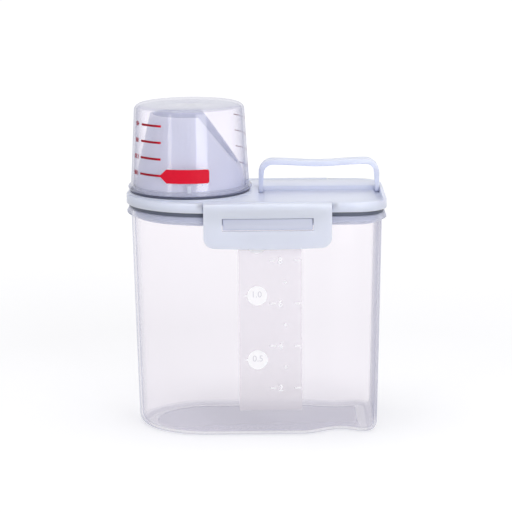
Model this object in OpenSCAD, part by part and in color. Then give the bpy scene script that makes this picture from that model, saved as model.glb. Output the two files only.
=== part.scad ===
// Countertop dispenser for powder: a translucent tub, a latched lid with a
// pouring spout, and a clear measuring cup that stands upside down over it.
// Millimetres. X runs along the front, +Y is the back, +Z is up. The origin
// is on the ground at the middle of the overall box.

/* [Plan shape] */
// Length of the lid along the front
lid_len = 182; // [170:1:196]
// Depth of the lid from front to back
lid_depth = 104; // [98:1:112]
// How far the round left end reaches along X
end_reach = 57; // [50:1:60]
// Corner radius at the right end
corner_r = 22; // [20:1:26]

/* [Heights] */
// Height of the tub up to the top of its rim
tub_h = 157.3; // [140:0.1:175]
// Visible gap between rim and lid that the seal fills
seal_gap = 3.1; // [2:0.1:3.5]
// Height of the lid above the seal gap
lid_h = 6.5; // [5.6:0.1:7]

/* [Tub] */
// How far the wall stands inside the lid's edge at the rim
wall_inset = 3.4; // [3:0.1:4.5]
// Wall thickness
tub_wall = 1.9; // [1.4:0.1:2.2]
// Floor thickness
floor_t = 2.2; // [1.6:0.1:3.2]
// Inward lean of the wall for each millimetre of height
draft = 0.021; // [0.005:0.001:0.03]
// Radius between wall and underside
foot_r = 6.5; // [4:0.5:9]
// Depth of the hollow panel in the underside
panel_depth = 0.8; // [0.4:0.1:1.2]
// Height of the bead at the rim
bead_h = 5; // [3.5:0.1:5.5]
// How far the bead stands out from the wall
bead_out = 3.2; // [2:0.1:3.3]

/* [Grip hollows] */
// Place of the hollows along X
grip_x = 58.5; // [54:0.5:60]
// Half of a hollow's width
grip_half = 27; // [22:0.5:28]
// Depth of the hollow in the front wall
grip_front = 11; // [6:0.5:13]
// Depth of the hollow in the back wall
grip_back = 5; // [4.6:0.1:8]

/* [Lid] */
// Thickness of the lid's plate
plate_t = 2; // [1.6:0.1:2.4]
// Radius of the lid's top edge
lid_edge_r = 1.2; // [0.6:0.1:1.6]
// Gap between tub wall and the lid's plug
plug_gap = 1.3; // [0.8:0.1:1.6]
// Thickness of the plug wall
plug_t = 1.8; // [1.6:0.1:2.4]
// How far the plug reaches into the tub
plug_reach = 6.7; // [5:0.1:9]
// Inset of the seal from the lid's edge
seal_inset = 2.3; // [2:0.1:2.8]
// Width of the seal
seal_w = 4; // [3.6:0.1:4.2]
// Depth of the seal's groove in the lid
seal_groove = 1; // [0.6:0.1:1.2]

/* [Spout] */
// Place of spout and cup along X
spout_x = -46; // [-48:0.5:-45]
// Outer radius of the spout's neck
spout_r = 38.4; // [34:0.1:38.5]
// Height of the straight neck above the lid
spout_neck = 9; // [6:0.5:12]
// Outer radius of the spout at its top
spout_top_r = 27.4; // [25:0.1:30]
// Height of the spout above the lid
spout_h = 55.8; // [48:0.1:57]
// Wall thickness of the spout
spout_wall = 2; // [1.4:0.1:2.4]
// Angle of the slanted cut above the horizontal
cut_angle = 53; // [45:1:60]
// Where the slanted cut starts at the top, right of the spout's axis
cut_start = 7.2; // [2:0.1:10]

/* [Cup seat] */
// Radius of the raised round that the cup stands on
seat_r = 43.4; // [43.3:0.1:43.8]
// Height of that round above the lid
seat_h = 1.3; // [1:0.1:1.8]
// Height of the cup's seal
cup_seal_h = 1.4; // [1:0.1:1.8]
// Inner radius of the cup's seal
cup_seal_in = 38.6; // [38.5:0.1:39.5]

/* [Measuring cup] */
// Outer radius at the mouth
cup_mouth_r = 42; // [41.5:0.1:42.4]
// Outer radius just below the closed end
cup_end_r = 38.8; // [37:0.1:40]
// Height of the cup
cup_h = 60; // [58.6:0.2:66]
// Wall thickness of the cup
cup_wall = 1.6; // [1.2:0.1:1.9]
// Thickness of the closed end
cup_end_t = 1.8; // [1.2:0.1:2.2]
// Radius between wall and closed end
cup_edge_r = 4; // [2.5:0.5:6]
// How far the bead stands out from the mouth
cup_bead = 1.7; // [1:0.1:1.9]
// Radius of the mark where the cup was moulded
gate_r = 2.2; // [1.5:0.1:3]

/* [Cup print] */
// Thickness of the printed film
ink_t = 0.22; // [0.15:0.01:0.3]
// Height of the lowest line above the mouth
line_z0 = 13.7; // [11:0.1:15]
// Distance between lines
line_step = 11.4; // [10:0.1:12]
// Number of lines
line_count = 4; // [3:1:4]
// Height of a line
line_w = 1.5; // [0.8:0.1:1.8]
// Left end of the lines, measured round the cup to the left of its front
line_left = 40.2; // [36:0.1:44]
// Right end of the lines, where the pointed tag starts
line_right = 20.5; // [18:0.1:23]
// Place at which the tag has its full height
tag_left = 15.8; // [13:0.1:17]
// Right end of the tag, measured round the cup to the right of its front
tag_right = 15; // [10:0.1:18]
// Height of the solid tag on the lowest line
tag_h = 9.6; // [8:0.1:11]
// Corner radius of the tag
tag_r = 1.6; // [0.5:0.1:3]

/* [Latches] */
// Width of a latch along X
latch_w = 88; // [80:1:92]
// Middle of the latches along X
latch_x = 8.2; // [4:0.1:9]
// Distance from the hinge axis to the latch's lower edge
latch_drop = 28.7; // [26:0.1:31]
// Thickness of the latch plate
latch_t = 2.6; // [2:0.1:3]
// Radius of the hinge barrel
barrel_r = 2; // [1.9:0.05:2.2]
// Distance from the lid's front face in to the hinge axis
axis_in = 2.1; // [2.1:0.05:2.3]
// Radius of the hinge pins
pin_r = 1.2; // [1:0.05:1.25]
// Length of a hinge pin
pin_len = 3; // [2:0.1:4]
// Corner radius at the latch's lower edge
latch_corner = 7.3; // [4:0.1:9]
// Sag of the latch's lower edge in its middle
latch_bow = 0.9; // [0.4:0.1:1.4]
// Length of the slot in a latch
slot_w = 62.7; // [56:0.1:66]
// Height of the slot
slot_h = 8.9; // [8:0.1:10]
// Distance from the hinge axis to the slot's upper edge
slot_drop = 8; // [7:0.1:8.5]

/* [Handle] */
// Width of the handle over its legs
handle_w = 85.8; // [80:0.2:87]
// Middle of the handle along X
handle_x = 45.3; // [45:0.1:45.6]
// Place of the handle's axis behind the lid's middle
handle_y = 14; // [8:0.5:16]
// Depth of the strap from front to back
strap_d = 11; // [9:0.2:12]
// Height from the axis to the top of the bar's ends
handle_h = 22.4; // [21:0.2:28]
// Sag of the bar in its middle
bar_sag = 1.4; // [0.6:0.1:2]
// Thickness of the bar
bar_t = 3.7; // [3:0.1:4.5]
// Thickness of a leg at the top
leg_t = 3.7; // [3.4:0.1:4.6]
// Thickness of a leg at its axis
leg_foot_t = 3; // [2.6:0.1:3.4]
// Outer radius of the handle's corners
handle_corner = 10; // [9:0.5:15]
// Radius of a leg's lower end
leg_r = 2.2; // [1.9:0.05:2.3]
// Radius of the handle's pins
stud_r = 1; // [0.8:0.05:1.1]
// Length of the handle's pins
stud_len = 1.7; // [1.2:0.1:1.9]

/* [Handle tray] */
// Depth of the tray in the lid
tray_depth = 2.7; // [2:0.1:2.8]
// Depth of the channels beside the tray's island
channel_depth = 1.4; // [1:0.1:1.5]
// Distance from the tray to the lid's front edge
tray_front = 8; // [7.6:0.2:12]
// Corner radius of the tray
tray_r = 6; // [4:0.5:8]
// Corner radius at the front of the island
island_r = 10; // [6:0.5:14]

/* [Scale on the tub] */
// Left edge of the frosted strip
strip_x0 = -12.3; // [-16:0.1:-8]
// Right edge of the frosted strip
strip_x1 = 31.4; // [27:0.1:31.4]
// Lower end of the strip above the ground
strip_z0 = 19.2; // [14:0.2:24]
// Upper end of the strip below the tub's rim
strip_top = 10.2; // [10:0.2:20]
// Thickness of the strip
strip_t = 0.2; // [0.1:0.05:0.3]
// Thickness of the marks on it
mark_t = 0.2; // [0.1:0.05:0.3]
// Height of the lowest mark above the ground
mark_z0 = 35.2; // [30:0.1:40]
// Distance between two measured steps
mark_step = 15.2; // [13:0.1:16]
// Length of a dash
dash_len = 4; // [3:0.1:4.5]
// Thickness of a dash
dash_w = 1.1; // [0.6:0.1:1.4]
// Radius of a dot
dot_r = 1; // [0.6:0.1:1.4]
// Radius of the round marks
disc_r = 6.9; // [5:0.1:7.5]
// Heights of the round marks above the ground, from the lowest up
disc_z1 = 55.7; // [50:0.1:60]
// Height of the middle one
disc_z2 = 101.6; // [90:0.1:110]
// Height of the upper one
disc_z3 = 138.5; // [130:0.1:139]

/* [Clearances] */
// Side gap of things that slide or turn past each other
side_gap = 0.4; // [0.3:0.05:0.6]
// Radial gap of a pin in its bore
pin_gap = 0.05; // [0.02:0.01:0.1]
// Gap in front of lid and rim, behind a latch
latch_gap = 0.3; // [0.25:0.05:0.6]
// Gap between a latch's slot and the lug in it
lug_gap = 0.5; // [0.4:0.05:0.8]

/* [Hidden] */

half_len = lid_len / 2;
half_depth = lid_depth / 2;
end_x = end_reach - half_len;
corner_x = half_len - corner_r;
lid_z = tub_h + seal_gap;
lid_top = lid_z + lid_h;
tub_inner = wall_inset + tub_wall;
wall_foot = wall_inset + draft * (tub_h - bead_h);
plug_out = tub_inner + plug_gap;
plug_in = plug_out + plug_t;
panel_inset = wall_foot + foot_r + 6;
grip_top = tub_h - bead_h - 4;
grip_full = grip_top - 32;
fan_x = grip_x - 10;
floor_r = foot_r - tub_wall;

seat_z = lid_top + seat_h;
mouth_z = seat_z + cup_seal_h;
cup_top = mouth_z + cup_h;
cup_lean = (cup_mouth_r - cup_end_r) / (cup_h - cup_edge_r);
cup_bead_z = 1.8;
cup_bead_r = 1.4;
line_from = cup_turn(-line_left);
line_to = cup_turn(-line_right);
tag_from = cup_turn(-tag_left);
tag_to = cup_turn(tag_right);
tag_mid = (tag_from + tag_to) / 2;
dash_x = [strip_x0 + 21.7, strip_x1 - dash_len - 1];
dot_x = strip_x0 + 32.4;
disc_x = strip_x0 + 12.9;

axis_y = half_depth - axis_in;
axis_z = lid_top - barrel_r + 0.1;
plate_back = half_depth + latch_gap;
plate_front = plate_back + latch_t;
notch_back = axis_y - barrel_r - 1.3;
notch_floor = axis_z - barrel_r - 0.2;
latch_x0 = latch_x - latch_w / 2;
latch_x1 = latch_x + latch_w / 2;

stud_z = lid_top - 1.7;
leg_x0 = handle_x - handle_w / 2;
leg_x1 = handle_x + handle_w / 2;
tray_x0 = leg_x0 - side_gap / 2;
tray_x1 = leg_x1 + side_gap / 2;
tray_back = handle_y + leg_r + 2.3;
tray_floor = lid_top - tray_depth;
channel_floor = tray_floor - channel_depth;
channel_w = leg_t + side_gap;

C = $preview ? 64 : 96;

// Angle of a place measured round the cup from its front, which is at -90
function cup_turn(length) = length / cup_mouth_r * 180 / PI - 90;

// Points of an arc about (x, y), from angle a to angle b
function arc(x, y, rx, ry, a, b, n) = [for (i = [0 : n])
    let (t = a + (b - a) * i / n) [x + rx * cos(t), y + ry * sin(t)]];

// Share of a grip hollow's depth at a place along X
function grip(x) = abs(x - grip_x) >= grip_half ? 0 : pow(cos(90 * (x - grip_x) / grip_half), 2);

// Share of a grip hollow's depth at a height
function grip_at(z) = z <= grip_full ? 1 : z >= grip_top ? 0 :
    (1 + cos(180 * (z - grip_full) / (grip_top - grip_full))) / 2;

// One of the two right corners, a given distance inside the lid's edge
function corner(d, a, n) = let (r = max(corner_r - d, 1), y = half_depth - d - r)
    arc(half_len - d - r, a < 0 ? -y : y, r, r, a, a + 90, n);

// Plan outline, a given distance inside the lid's edge
function plan(d) = concat(
    arc(end_x, 0, end_reach - d, half_depth - d, 90, 270, 40), corner(d, -90, 10), corner(d, 0, 10));

// Points along a straight side, without its ends
function side(y, from, to, n) = [for (i = [1 : n - 1]) [from + (to - from) * i / n, y]];

// The same outline for the tub, with points for the hollows
function tub_plan(d) = concat(
    arc(end_x, 0, end_reach - d, half_depth - d, 90, 270, 26),
    side(d - half_depth, end_x, corner_x, 14), corner(d, -90, 6), corner(d, 0, 6),
    side(half_depth - d, corner_x, end_x, 14));

// One ring of the tub at a height, with the hollows pressed in
function tub_ring(d, z) = [for (p = tub_plan(d))
    [p[0], p[1] + grip_at(z) * grip(p[0]) * (p[1] < 0 ? grip_front : -grip_back), z]];

// Distance of the tub's outer wall inside the lid's edge at a height
function wall_at(z) = wall_inset + draft * max(0, tub_h - bead_h - z);

// Outside of the tub as pairs of inset and height, from the underside up
function tub_outside() = concat(
    [[panel_inset + 1, panel_depth], [panel_inset, 0]],
    [for (t = [0 : 22.5 : 90]) [wall_foot + foot_r * (1 - sin(t)), foot_r * (1 - cos(t))]],
    [for (i = [0 : 4]) let (z = grip_full + (grip_top - grip_full) * i / 4) [wall_at(z), z]],
    [[wall_inset, tub_h - bead_h], [wall_inset - bead_out, tub_h - bead_h + 1.3],
     [wall_inset - bead_out, tub_h - bead_h + 2.4], [wall_inset - 1, tub_h]]);

// Inside of the tub, from the rim down to the floor
function tub_inside() = concat(
    [[tub_inner, tub_h]],
    [for (i = [4 : -1 : 0]) let (z = grip_full + (grip_top - grip_full) * i / 4) [wall_at(z) + tub_wall, z]],
    [for (t = [90 : -30 : 0]) [wall_foot + tub_wall + floor_r * (1 - sin(t)),
        floor_t + floor_r * (1 - cos(t))]]);

// Closed solid through a stack of rings; a fan about a point that sees the whole ring closes each end
module loft(rings) {
    n = len(rings[0]);
    m = len(rings);
    polyhedron(
        points = concat([for (r = rings) each r], [[fan_x, 0, rings[0][0][2]], [fan_x, 0, rings[m - 1][0][2]]]),
        faces = concat(
            [for (i = [0 : n - 1]) [m * n, i, (i + 1) % n]],
            [for (k = [0 : m - 2]) for (i = [0 : n - 1]) let (j = (i + 1) % n)
                each [[k * n + i, (k + 1) * n + i, (k + 1) * n + j],
                      [k * n + i, (k + 1) * n + j, k * n + j]]],
            [for (i = [0 : n - 1]) [m * n + 1, (m - 1) * n + (i + 1) % n, (m - 1) * n + i]]),
        convexity = 10);
}

// Flat plate with the plan outline between two heights
module slab(d, z0, z1) {
    translate([0, 0, z0]) linear_extrude(z1 - z0) polygon(plan(d));
}

// Rod along X from x0 to x1
module rod(x0, x1, y, z, r) {
    translate([x0, y, z]) rotate([0, 90, 0]) cylinder(h = x1 - x0, r = r, $fn = C);
}

// Block between two corners
module block(a, b) {
    translate(a) cube(b - a);
}

// Rectangle from (x0, y0) to (x1, y1) with a radius at each corner
module rounded(x0, y0, x1, y1, r) {
    polygon(concat(
        arc(x1 - r, y1 - r, r, r, 0, 90, 8), arc(x0 + r, y1 - r, r, r, 90, 180, 8),
        arc(x0 + r, y0 + r, r, r, 180, 270, 8), arc(x1 - r, y0 + r, r, r, 270, 360, 8)));
}

// Catch for a latch on the front wall
module lug() {
    block([latch_x - slot_w / 2 + lug_gap, -plate_front + 1.6, axis_z - slot_drop - slot_h + lug_gap],
          [latch_x + slot_w / 2 - lug_gap, -half_depth + tub_inner - 0.4, axis_z - slot_drop - lug_gap]);
}

module container_body() {
    color([0.93, 0.92, 0.95, 0.5]) union() {
        loft([for (p = concat(tub_outside(), tub_inside())) tub_ring(p[0], p[1])]);
        lug();
        mirror([0, 1, 0]) lug();
    }
}

module main_seal() {
    color([0.33, 0.35, 0.4]) difference() {
        slab(seal_inset, tub_h, lid_z + seal_groove);
        slab(seal_inset + seal_w, tub_h - 1, lid_z + seal_groove + 1);
    }
}

// Body of the lid with its rounded top edge
module lid_plate() {
    steps = 4;
    slab(0, lid_z, lid_top - lid_edge_r);
    for (i = [1 : steps]) let (a = 90 * (i - 0.5) / steps)
        slab(lid_edge_r * (1 - cos(a)), lid_top - lid_edge_r - 0.01,
             lid_top - lid_edge_r * (1 - sin(90 * i / steps)));
    slab(plug_out, lid_z - seal_gap - plug_reach, lid_z + 0.1);
    translate([spout_x, 0, lid_top - 0.1]) cylinder(h = seat_h + 0.1, r = seat_r, $fn = C);
}

// Space under the lid's plate
module lid_underside() {
    difference() {
        slab(plug_in, lid_z - seal_gap - plug_reach - 1, lid_top - plate_t);
        block([tray_x0 - 3, tray_front - half_depth - 1, channel_floor - 1.2],
              [tray_x1 + 3, tray_back + 2, lid_top]);
    }
    difference() {
        slab(seal_inset, lid_z - 1, lid_z + seal_groove);
        slab(seal_inset + seal_w, lid_z - 2, lid_z + seal_groove + 1);
    }
}

// Tray in which the handle folds down, with an island between its channels
module handle_tray() {
    difference() {
        translate([0, 0, channel_floor]) linear_extrude(lid_top)
            rounded(tray_x0, tray_front - half_depth, tray_x1, tray_back, tray_r);
        translate([0, 0, channel_floor - 1]) linear_extrude(channel_depth + 1)
            difference() {
                rounded(tray_x0 + channel_w, tray_front - half_depth + channel_w,
                        tray_x1 - channel_w, tray_back + island_r, island_r);
                translate([tray_x0, tray_back + 0.01]) square([tray_x1 - tray_x0, 2 * island_r]);
            }
    }
    // The round back corners open straight to the back, so that the legs stand free
    for (x = [tray_x0, tray_x1 - channel_w])
        block([x, -half_depth / 2, channel_floor], [x + channel_w, tray_back, lid_top + 1]);
}

// Notch for a latch's barrel in the front edge, with bores for its pins
module hinge_notch() {
    block([latch_x0 - side_gap, -half_depth - 1, notch_floor],
          [latch_x1 + side_gap, -notch_back, lid_top + 1]);
    rod(latch_x0 - side_gap - pin_len, latch_x1 + side_gap + pin_len, -axis_y, axis_z, pin_r + pin_gap);
}

// Round form of the spout, a distance d inside its outer surface, longer below and above if asked
module spout_form(d, below, above) {
    translate([spout_x, 0, lid_top]) rotate_extrude($fn = C) polygon(concat(
        [[0, -below], [spout_r - d, -below], [spout_r - d, spout_neck], [spout_top_r - d, spout_h]],
        above > 0 ? [[spout_top_r - d, spout_h + above]] : [], [[0, spout_h + above]]));
}

// Pouring spout with its slanted cut, still without its bore
module spout() {
    difference() {
        spout_form(0, 0, 0);
        translate([spout_x + cut_start, -spout_r - 1, lid_top + spout_h]) rotate([0, cut_angle, 0])
            cube([4 * spout_h, 2 * spout_r + 2, 4 * spout_h]);
    }
}

module lid() {
    color([0.86, 0.88, 0.94]) difference() {
        union() {
            difference() {
                lid_plate();
                lid_underside();
                handle_tray();
                hinge_notch();
                mirror([0, 1, 0]) hinge_notch();
            }
            spout();
        }
        spout_form(spout_wall, lid_h + seal_gap + plug_reach + 1, 1);
        rod(tray_x0 - stud_len - side_gap / 2, tray_x1 + stud_len + side_gap / 2,
            handle_y, stud_z, stud_r + pin_gap);
    }
}

module cup_seal() {
    color([0.33, 0.34, 0.42]) translate([spout_x, 0, seat_z]) difference() {
        cylinder(h = cup_seal_h, r = cup_mouth_r + 0.4, $fn = C);
        translate([0, 0, -1]) cylinder(h = cup_seal_h + 2, r = cup_seal_in, $fn = C);
    }
}

// Outer radius of the cup's wall at a height above its mouth
function cup_r(z) = cup_mouth_r - cup_lean * z;

module measuring_cup() {
    shoulder = cup_h - cup_edge_r;
    inner = cup_end_r - cup_wall;
    inner_r = cup_edge_r - cup_wall;
    color([0.95, 0.96, 0.98, 0.3]) translate([spout_x, 0, mouth_z]) difference() {
        union() {
            rotate_extrude($fn = C) polygon(concat(
                [[cup_mouth_r - cup_wall, 0], [cup_mouth_r, 0]],
                arc(cup_end_r - cup_edge_r, shoulder, cup_edge_r, cup_edge_r, 0, 90, 10),
                [[0, cup_h], [0, cup_h - cup_end_t]],
                arc(inner - inner_r, cup_h - cup_end_t - inner_r, inner_r, inner_r, 90, 0, 8)));
            rotate_extrude($fn = C) translate([cup_mouth_r + cup_bead - cup_bead_r, cup_bead_z])
                circle(r = cup_bead_r, $fn = 32);
        }
        translate([0, 0, cup_h - 0.4]) cylinder(h = 1, r = gate_r, $fn = 32);
    }
}

// Patch of ink on the cup between two angles and two heights; -90 faces the front
module ink(a0, a1, z0, z1) {
    rotate([0, 0, a0]) rotate_extrude(angle = a1 - a0, $fn = C) polygon([
        [cup_r(z0), z0], [cup_r(z0) + ink_t, z0], [cup_r(z1) + ink_t, z1], [cup_r(z1), z1]]);
}

// The lowest line with its pointed tag, cut from one patch of ink
module tag() {
    r = cup_r(line_z0);
    z = line_z0 + line_w / 2;
    tip = r * sin(line_to - tag_mid);
    full = r * sin(tag_from - tag_mid);
    end = r * sin(tag_to - tag_mid);
    intersection() {
        ink(line_from, tag_to + 4, z - tag_h / 2 - 1, z + tag_h / 2 + 1);
        rotate([0, 0, tag_mid]) rotate([90, 0, 90]) linear_extrude(2 * r) polygon(concat(
            [[-2 * r, z - line_w / 2], [tip, z - line_w / 2], [full, z - tag_h / 2]],
            arc(end - tag_r, z - tag_h / 2 + tag_r, tag_r, tag_r, -90, 0, 6),
            arc(end - tag_r, z + tag_h / 2 - tag_r, tag_r, tag_r, 0, 90, 6),
            [[full, z + tag_h / 2], [tip, z + line_w / 2], [-2 * r, z + line_w / 2]]));
    }
}

module cup_scale_print() {
    color([0.75, 0.02, 0.12]) translate([spout_x, 0, mouth_z]) {
        tag();
        for (i = [1 : line_count - 1]) let (z = line_z0 + i * line_step)
            ink(line_from, line_to, z, z + line_w);
    }
}

// Side view of a latch, as pairs of distance from the axis outwards and height
function latch_section() = concat(
    [[0, -barrel_r], [plate_back - axis_y, -barrel_r], [plate_back - axis_y, -latch_drop - latch_bow],
     [plate_front - axis_y, -latch_drop - latch_bow]],
    arc(plate_front - axis_y - barrel_r, 0, barrel_r, barrel_r, 0, 90, 8),
    [[0, barrel_r]]);

module latch() {
    outline = concat(
        arc(latch_w / 2 - latch_corner, latch_corner - latch_drop, latch_corner, latch_corner, 0, -90, 10),
        [for (i = [1 : 9]) let (t = 1 - i / 5)
            [t * (latch_w / 2 - latch_corner), -latch_drop - latch_bow * (1 - t * t)]],
        arc(latch_corner - latch_w / 2, latch_corner - latch_drop, latch_corner, latch_corner, -90, -180, 10),
        [[-latch_w / 2, barrel_r + 1], [latch_w / 2, barrel_r + 1]]);
    translate([latch_x, -axis_y, axis_z]) difference() {
        intersection() {
            union() {
                rotate([0, -90, 0]) rotate([0, 0, 90]) translate([0, 0, -latch_w / 2])
                    linear_extrude(latch_w) polygon([for (p = latch_section()) [-p[0], -p[1]]]);
                translate([-latch_w / 2, 0, 0]) rotate([0, 90, 0])
                    cylinder(h = latch_w, r = barrel_r, $fn = C);
            }
            translate([0, 2 * latch_t, 0]) rotate([90, 0, 0]) linear_extrude(8 * latch_t) polygon(outline);
        }
        block([-slot_w / 2, -4 * latch_t, -slot_drop - slot_h], [slot_w / 2, 0, -slot_drop]);
    }
    rod(latch_x0 - side_gap - pin_len + 0.4, latch_x1 + side_gap + pin_len - 0.4, -axis_y, axis_z, pin_r);
}

module front_latch() {
    color([0.86, 0.88, 0.94]) latch();
}

module rear_latch() {
    color([0.86, 0.88, 0.94]) mirror([0, 1, 0]) latch();
}

// Front view of the handle as a closed band, in X and height above its axis
module handle_band() {
    w = handle_w / 2;
    r = handle_corner;
    q = r - bar_t;
    difference() {
        polygon(concat(
            [[w, -leg_r]],
            arc(w - r, handle_h - r, r, r, 0, 90, 12),
            [for (i = [1 : 11]) let (t = 1 - i / 6)
                [t * (w - r), handle_h - bar_sag * (1 + cos(180 * t)) / 2]],
            arc(r - w, handle_h - r, r, r, 90, 180, 12),
            [[-w, -leg_r]]));
        polygon(concat(
            [[w - leg_foot_t, -leg_r - 1], [w - leg_foot_t, leg_r]],
            arc(w - leg_t - q, handle_h - bar_t - q, q, q, 0, 90, 10),
            [for (i = [1 : 11]) let (t = 1 - i / 6)
                [t * (w - r), handle_h - bar_t - bar_sag * (1 + cos(180 * t)) / 2]],
            arc(leg_t + q - w, handle_h - bar_t - q, q, q, 90, 180, 10),
            [[leg_foot_t - w, leg_r], [leg_foot_t - w, -leg_r - 1]]));
    }
}

// Side view of the handle, in Y and height above its axis
module handle_side() {
    steps = 8;
    flare = [for (i = [0 : steps]) let (t = i / steps)
        [leg_r + (strap_d / 2 - leg_r) * (1 - cos(180 * t)) / 2, handle_h * (0.12 + 0.6 * t)]];
    circle(r = leg_r, $fn = C);
    polygon(concat(
        [[leg_r, 0]], flare, [[strap_d / 2, handle_h + 1], [-strap_d / 2, handle_h + 1]],
        [for (i = [steps : -1 : 0]) [-flare[i][0], flare[i][1]]], [[-leg_r, 0]]));
}

module carry_handle() {
    color([0.86, 0.88, 0.94]) {
        translate([handle_x, handle_y, stud_z]) intersection() {
            translate([0, strap_d, 0]) rotate([90, 0, 0]) linear_extrude(2 * strap_d) handle_band();
            rotate([90, 0, 90]) translate([0, 0, -handle_w]) linear_extrude(2 * handle_w) handle_side();
        }
        rod(leg_x0 - stud_len, leg_x0 + leg_foot_t / 2, handle_y, stud_z, stud_r);
        rod(leg_x1 - leg_foot_t / 2, leg_x1 + stud_len, handle_y, stud_z, stud_r);
    }
}

// Place of a film on the front wall: X, height along the wall, thickness outwards
module on_front_wall() {
    translate([0, wall_at(0) - half_depth, 0]) rotate([90 + atan(draft), 0, 0]) children();
}

module scale_strip() {
    color([0.9, 0.88, 0.91, 0.7]) on_front_wall()
        block([strip_x0, strip_z0, 0], [strip_x1, tub_h - strip_top, strip_t]);
}

module scale_marks() {
    color("white") on_front_wall() translate([0, 0, strip_t]) linear_extrude(mark_t) {
        for (i = [0 : 6]) let (z = mark_z0 + i * mark_step) {
            if (i % 2 == 0) for (x = dash_x) translate([x, z - dash_w / 2]) square([dash_len, dash_w]);
            if (i % 2 == 1) translate([dot_x, z]) circle(r = dot_r, $fn = 24);
        }
        for (z = [disc_z1, disc_z2, disc_z3]) translate([disc_x, z]) {
            circle(r = disc_r, $fn = 64);
            polygon([[-disc_r - 1.8, 0], [1 - disc_r, 1.5], [1 - disc_r, -1.5]]);
        }
    }
}

container_body();
main_seal();
lid();
cup_seal();
measuring_cup();
cup_scale_print();
front_latch();
rear_latch();
carry_handle();
scale_strip();
scale_marks();
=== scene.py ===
"""Dressed model of a countertop powder dispenser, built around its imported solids.

Sizes are in millimetres in the classes and become metres when a mesh is finished.
X runs along the front, +Y is the back and +Z is up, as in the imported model.
"""

import logging
import math
from dataclasses import dataclass, field
from enum import Enum
from typing import Any, Iterable, Optional, Sequence

import bmesh
import bpy
from mathutils import Matrix, Vector


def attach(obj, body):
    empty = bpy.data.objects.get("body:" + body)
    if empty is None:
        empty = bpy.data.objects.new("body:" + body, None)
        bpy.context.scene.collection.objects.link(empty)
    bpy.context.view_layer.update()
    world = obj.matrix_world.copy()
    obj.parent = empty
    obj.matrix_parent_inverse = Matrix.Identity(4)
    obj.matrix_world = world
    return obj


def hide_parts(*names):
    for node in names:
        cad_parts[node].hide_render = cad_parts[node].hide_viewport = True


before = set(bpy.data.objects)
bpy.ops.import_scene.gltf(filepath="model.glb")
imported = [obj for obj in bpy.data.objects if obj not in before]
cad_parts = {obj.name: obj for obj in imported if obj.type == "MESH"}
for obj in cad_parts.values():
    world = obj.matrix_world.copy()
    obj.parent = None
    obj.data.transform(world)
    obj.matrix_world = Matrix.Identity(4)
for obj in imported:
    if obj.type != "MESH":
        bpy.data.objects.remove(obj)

LOG = logging.getLogger("dispenser")
MM = 0.001
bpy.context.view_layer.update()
SKIN_DISTANCE = 0.0002  # height of a moulded skin in metres
SCHLICK_POWER = 5.0  # how fast a plastic's reflection grows towards a slanted view
Point = tuple[float, float, float]
Pair = tuple[float, float]
Color = tuple[float, float, float]


class Body(str, Enum):
    """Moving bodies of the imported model."""

    TUB = "tub"
    CUP = "cup"
    FRONT_LATCH = "front_latch"
    REAR_LATCH = "rear_latch"
    HANDLE = "handle"


class Slot(str, Enum):
    """Material slots of the record."""

    TUB = "frosted_tub"
    SEAL = "dark_seal"
    PLASTIC = "pale_blue_plastic"
    CUP = "clear_cup"
    RED = "red_ink"
    FILM = "frosted_film"
    WHITE = "white_ink"


def srgb(red: int, green: int, blue: int) -> Color:
    """Linear colour of an 8-bit display colour.

    Args:
        red: Red from 0 to 255.
        green: Green from 0 to 255.
        blue: Blue from 0 to 255.

    Returns:
        The three linear values.
    """

    def linear(value: int) -> float:
        """One channel in linear light."""
        share = value / 255
        return share / 12.92 if share <= 0.04045 else ((share + 0.055) / 1.055) ** 2.4

    return linear(red), linear(green), linear(blue)


# ---------------------------------------------------------------- shader tools


class Sock:
    """An output socket on which Python's operators build Math nodes."""

    def __init__(self, graph: "Graph", socket: bpy.types.NodeSocket) -> None:
        """Keep the graph and the socket."""
        self.graph = graph
        self.socket = socket

    def math(self, operation: str, *others: Any, clamp: bool = False) -> "Sock":
        """One Math node.

        Args:
            operation: Blender's name of the operation.
            *others: The second and third input.
            clamp: Whether the result is kept from 0 to 1.

        Returns:
            The node's value.
        """
        inputs = {i: value for i, value in enumerate((self, *others))}
        return self.graph.node("ShaderNodeMath", {"operation": operation, "use_clamp": clamp}, inputs)

    def __add__(self, other: Any) -> "Sock":
        """Sum."""
        return self.math("ADD", other)

    def __radd__(self, other: Any) -> "Sock":
        """Sum, reflected."""
        return self.math("ADD", other)

    def __mul__(self, other: Any) -> "Sock":
        """Product."""
        return self.math("MULTIPLY", other)

    def __rmul__(self, other: Any) -> "Sock":
        """Product, reflected."""
        return self.math("MULTIPLY", other)

    def __sub__(self, other: Any) -> "Sock":
        """Difference."""
        return self.math("SUBTRACT", other)

    def __rsub__(self, other: float) -> "Sock":
        """Difference, reflected."""
        return self.graph.node("ShaderNodeMath", {"operation": "SUBTRACT"}, {0: other, 1: self})

    def __pow__(self, other: Any) -> "Sock":
        """Power."""
        return self.math("POWER", other)

    def clamped(self) -> "Sock":
        """The value kept from 0 to 1."""
        return self.math("ADD", 0.0, clamp=True)


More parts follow.
